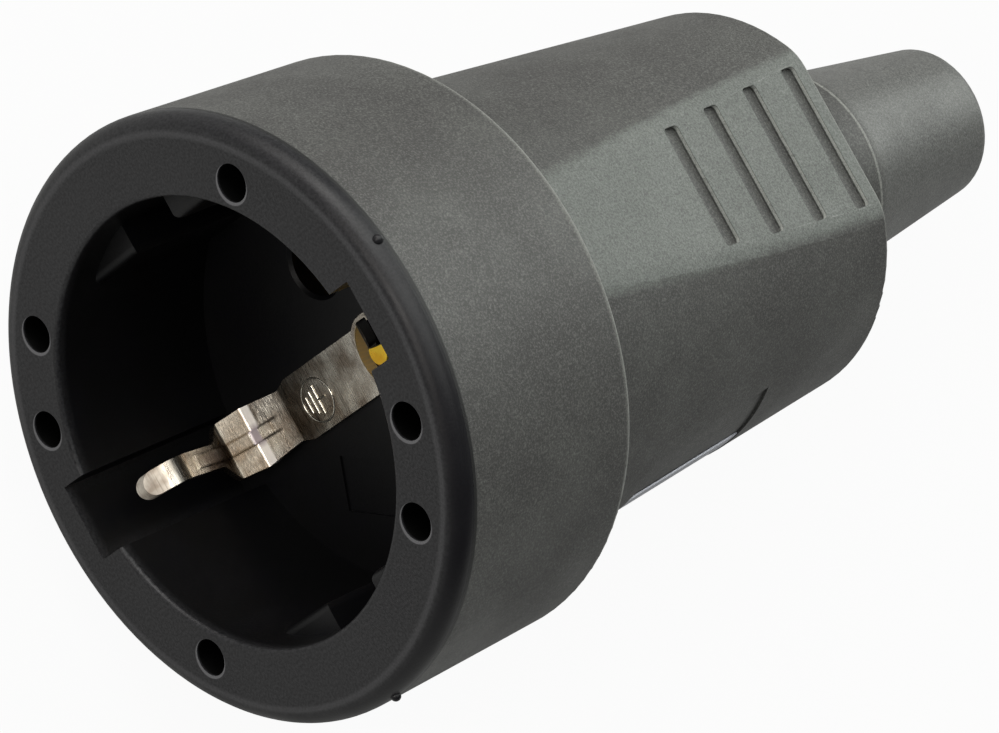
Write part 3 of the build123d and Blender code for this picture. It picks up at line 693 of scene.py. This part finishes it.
# %% From a node tree to a plain mesh
def grown_by_nodes(name, tree, values, matrix):
    """Runs a node tree with these inputs, keeps its result as a plain mesh and puts it in its place."""
    seed = bpy.data.objects.new(name + "_seed", bpy.data.meshes.new(name + "_seed"))
    bpy.context.scene.collection.objects.link(seed)
    modifier = seed.modifiers.new("grow", "NODES")
    modifier.node_group = tree
    keys = {item.name: item.identifier for item in tree.interface.items_tree if item.in_out == "INPUT"}
    for input_name, value in values.items():
        modifier[keys[input_name]] = value
    bpy.context.view_layer.update()
    evaluated = seed.evaluated_get(bpy.context.evaluated_depsgraph_get())
    mesh = bpy.data.meshes.new_from_object(evaluated)
    mesh.name = name
    seed.modifiers.remove(modifier)
    bpy.data.objects.remove(seed)
    mesh.transform(matrix)
    piece = bpy.data.objects.new(name, mesh)
    bpy.context.scene.collection.objects.link(piece)
    print(name, "faces:", len(mesh.polygons))
    return piece


# %% [markdown]
# The sign lies on the strap's front, which faces the mouth of the recess, between the eye and the lower
# spring. Its place is given in the socket's own axes: how deep the strap's front lies behind the mating
# face, then across and up. Its lines are thrown-up nickel, so they are smoother and paler than the strap.

# %% Place the sign on the strap
STRAP_FRONT_MM = 16.8
SIGN_PLACE_MM = (-0.28, -7.06)
WEAR_MM = 0.5


def polished_edge():
    material, shader = new_material("pressed_edge", Metallic=1.0, Roughness=0.18)
    tree = material.node_tree
    here = socket_place(tree)
    wear = add(tree, NOISE, {"Vector": here, "Scale": 1 / WEAR_MM, "Detail": 2, "Roughness": 0.5})
    feed(tree, shader, Base_Color=painted(tree, "#d8d2c4", (wear, 1.0, "#f0ece0")))
    return material


sign_turn = Matrix((axis_z, axis_y, -axis_x)).transposed().to_4x4()
sign_matrix = Matrix.Translation(place(STRAP_FRONT_MM, *SIGN_PLACE_MM)) @ sign_turn @ Matrix.Scale(MM, 4)
earth_sign = grown_by_nodes("earth_sign", sign_tree(polished_edge()), SIGN_INPUTS, sign_matrix)
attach(earth_sign, "root")

# %% [markdown]
# The ground is a plain pale sheet. The camera sees it as white, as paper under a product picture, and metal
# mirrors some of that white. The rest of the sheet is an ordinary matt surface, so that it keeps a soft
# shadow under the socket.

# %% Floor
PAPER_SEEN_WHITE = 0.95
PAPER_IN_GLOSS = 0.15
PAPER_FIBRE = 0.004
FLOOR_HALF = 1.5


def paper():
    material = bpy.data.materials.new("white_paper")
    material.use_nodes = True
    tree = material.node_tree
    tree.nodes.clear()
    rays = add(tree, "ShaderNodeLightPath").node.outputs
    seen = add(tree, MATH, (rays["Is Camera Ray"], PAPER_SEEN_WHITE), operation="MULTIPLY")
    mirrored = add(tree, MATH, (rays["Is Glossy Ray"], PAPER_IN_GLOSS), operation="MULTIPLY")
    white_share = add(tree, MATH, (seen, mirrored), operation="ADD")
    here = add(tree, "ShaderNodeTexCoord", out="Object")
    fibres = add(tree, NOISE, {"Vector": here, "Scale": 1 / PAPER_FIBRE, "Detail": 2, "Roughness": 0.5})
    matt = add(tree, "ShaderNodeBsdfDiffuse", {"Color": painted(tree, "#9a9a99", (fibres, 1.0, "#a2a2a1"))})
    glow = add(tree, "ShaderNodeEmission", {"Color": "#ffffff", "Strength": 1.0})
    sheet = add(tree, "ShaderNodeMixShader", (white_share, matt, glow))
    add(tree, "ShaderNodeOutputMaterial", {"Surface": sheet})
    return material


floor_mesh = bpy.data.meshes.new("floor")
corners = [(x * FLOOR_HALF, y * FLOOR_HALF, 0) for x, y in ((-1, -1), (1, -1), (1, 1), (-1, 1))]
floor_mesh.from_pydata(corners, [], [(0, 1, 2, 3)])
floor_mesh.materials.append(paper())
floor = bpy.data.objects.new("floor", floor_mesh)
bpy.context.scene.collection.objects.link(floor)
print("floor side in m:", 2 * FLOOR_HALF)

# %% [markdown]
# A white room surrounds it all. The camera sees the room at full strength, but it lights the socket only a
# little, so that the soft boxes give the shapes.

# %% World
WORLD_LEVEL = 0.085
world = bpy.data.worlds.new("white_room")
world.use_nodes = True
bpy.context.scene.world = world
sky = world.node_tree
sky.nodes.clear()
camera_ray = add(sky, "ShaderNodeLightPath", out="Is Camera Ray")
level = add(sky, RANGE, (camera_ray, 0, 1, WORLD_LEVEL, 1.0))
room = add(sky, "ShaderNodeBackground", {"Color": "#fbfcff", "Strength": level})
add(sky, "ShaderNodeOutputWorld", {"Surface": room})
print("room light on the socket:", WORLD_LEVEL)

# %% [markdown]
# Four soft boxes light the socket. The large one overhead leaves hardly a shadow in the grooves, the rear one
# gives the upper side and the sleeve their sheen, the one at the left of the picture shapes the collar, and
# the small one in front is there for the metal, whose folds need something bright and narrow to mirror.
# Each row gives the direction in the socket's own axes, the distance and the width in metres, the power in
# watts and the tint.

# %% Soft boxes
SOFT_BOXES = {
    "overhead": ((-0.10, 0.28, 0.95), 0.8, 1.1, 10.6, "#f8faf7"),
    "rear": ((0.86, 0.10, 0.50), 0.8, 0.5, 2.6, "#f6fbf6"),
    "left": ((-0.30, 0.78, 0.55), 0.8, 0.6, 3.0, "#fffaf6"),
    "front": ((-0.93, 0.09, 0.35), 0.9, 0.28, 2.5, "#fffaf4"),
}
for name, (toward, distance, width, watts, tint) in SOFT_BOXES.items():
    light_data = bpy.data.lights.new(name, "AREA")
    light_data.size = width
    light_data.energy = watts
    light_data.color = linear(tint)[:3]
    light = bpy.data.objects.new(name, light_data)
    direction = (to_row.to_3x3() @ Vector(toward)).normalized()
    light.location = face_centre + direction * distance
    light.rotation_euler = direction.to_track_quat("Z", "Y").to_euler()
    bpy.context.scene.collection.objects.link(light)
    print(name, "soft box:", watts, "W")

# %% [markdown]
# The Standard view shows colours as they are written. Last come the two boxes that tell whether the dressed
# socket is still as large as the imported one.

# %% Colour management and the end
bpy.context.scene.view_settings.view_transform = "Standard"
